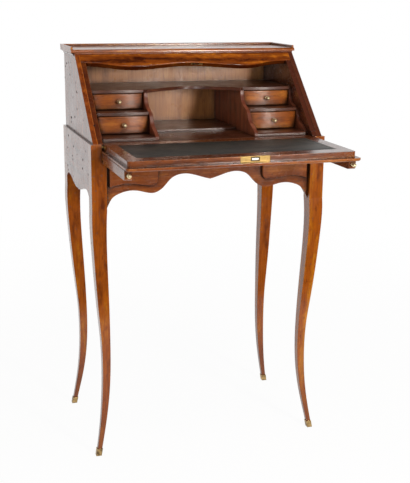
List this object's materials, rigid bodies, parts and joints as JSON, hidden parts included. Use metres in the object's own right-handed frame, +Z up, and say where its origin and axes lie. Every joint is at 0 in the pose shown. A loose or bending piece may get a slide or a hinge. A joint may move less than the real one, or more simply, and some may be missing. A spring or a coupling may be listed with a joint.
{
  "type": "escritoire",
  "caption": "Small slant-front writing desk on cabriole legs, open: a leather-lined flap on pull-out rails before a fitted interior with small drawers under a shelf.",
  "frame": {"origin": "on the floor, under the middle of the open desk's bounding box", "axes": "+Z up, -Y towards the sitter, +X to the sitter's right"},
  "size_m": [0.563, 0.5904, 0.9488],
  "materials": {
    "fruitwood": "french-polished reddish-brown walnut or fruitwood, worn, with worm holes",
    "interior_wood": "waxed dark red-brown wood",
    "lining_wood": "plain unpolished secondary wood",
    "leather": "dark green-black writing skin, lightly polished",
    "brass": "polished brass, slightly tarnished",
    "steel": "bare worn steel"
  },
  "bodies": {
    "case": {"back_apron": "lining_wood", "back_panel": "interior_wood", "bed_bearer": "lining_wood", "bed_board": "fruitwood", "centre_floor": "interior_wood", "drawer_dividers": "interior_wood", "drawer_linings": "interior_wood", "drawer_plinths": "interior_wood", "frieze": "fruitwood", "front_apron": "fruitwood", "front_bead": "fruitwood", "front_leg_left": "fruitwood", "front_leg_right": "fruitwood", "gallery_rails": "fruitwood", "loper_guides": "lining_wood", "partition_left": "interior_wood", "partition_right": "interior_wood", "pivot_bushes": "brass", "rear_leg_left": "fruitwood", "rear_leg_right": "fruitwood", "sabots": "brass", "shelf": "interior_wood", "side_apron_left": "fruitwood", "side_apron_right": "fruitwood", "side_coves": "fruitwood", "strike_plate": "brass", "top_board": "fruitwood", "upper_side_left": "fruitwood", "upper_side_right": "fruitwood"},
    "flap": {"flap_board": "fruitwood", "writing_leather": "leather", "pivot_plates": "brass", "pivot_screws": "brass", "lock_plate": "brass", "lock_screws": "brass", "lock_case": "steel", "escutcheon": "brass"},
    "lock_bolt": {"lock_bolt": "steel"},
    "loper_left": {"loper_left": "fruitwood", "loper_knob_left": "brass", "loper_peg_left": "fruitwood"},
    "upper_drawer_left": {"upper_drawer_front_left": "fruitwood", "upper_drawer_walls_left": "lining_wood", "upper_drawer_bottom_left": "lining_wood", "upper_drawer_knob_left": "brass"},
    "lower_drawer_left": {"lower_drawer_front_left": "fruitwood", "lower_drawer_walls_left": "lining_wood", "lower_drawer_bottom_left": "lining_wood", "lower_drawer_knob_left": "brass"},
    "loper_right": {"loper_right": "fruitwood", "loper_knob_right": "brass", "loper_peg_right": "fruitwood"},
    "upper_drawer_right": {"upper_drawer_front_right": "fruitwood", "upper_drawer_walls_right": "lining_wood", "upper_drawer_bottom_right": "lining_wood", "upper_drawer_knob_right": "brass"},
    "lower_drawer_right": {"lower_drawer_front_right": "fruitwood", "lower_drawer_walls_right": "lining_wood", "lower_drawer_bottom_right": "lining_wood", "lower_drawer_knob_right": "brass"}
  },
  "joints": [
    {"name": "flap_hinge", "type": "hinge", "parent": "case", "child": "flap", "pos_m": [0, -0.05005, 0.7426], "axis": [1, 0, 0], "range_deg": [-136.93, 0]},
    {"name": "loper_left_slide", "type": "slide", "parent": "case", "child": "loper_left", "axis": [0, -1, 0], "range_m": [-0.2145, 0]},
    {"name": "loper_right_slide", "type": "slide", "parent": "case", "child": "loper_right", "axis": [0, -1, 0], "range_m": [-0.2145, 0]},
    {"name": "upper_drawer_left_slide", "type": "slide", "parent": "case", "child": "upper_drawer_left", "axis": [0, -1, 0], "range_m": [0, 0.115]},
    {"name": "upper_drawer_right_slide", "type": "slide", "parent": "case", "child": "upper_drawer_right", "axis": [0, -1, 0], "range_m": [0, 0.115]},
    {"name": "lower_drawer_left_slide", "type": "slide", "parent": "case", "child": "lower_drawer_left", "axis": [0, -1, 0], "range_m": [0, 0.15]},
    {"name": "lower_drawer_right_slide", "type": "slide", "parent": "case", "child": "lower_drawer_right", "axis": [0, -1, 0], "range_m": [0, 0.15]},
    {"name": "lock_bolt_slide", "type": "slide", "parent": "flap", "child": "lock_bolt", "axis": [0, -1, 0], "range_m": [0, 0.0179]}
  ]
}
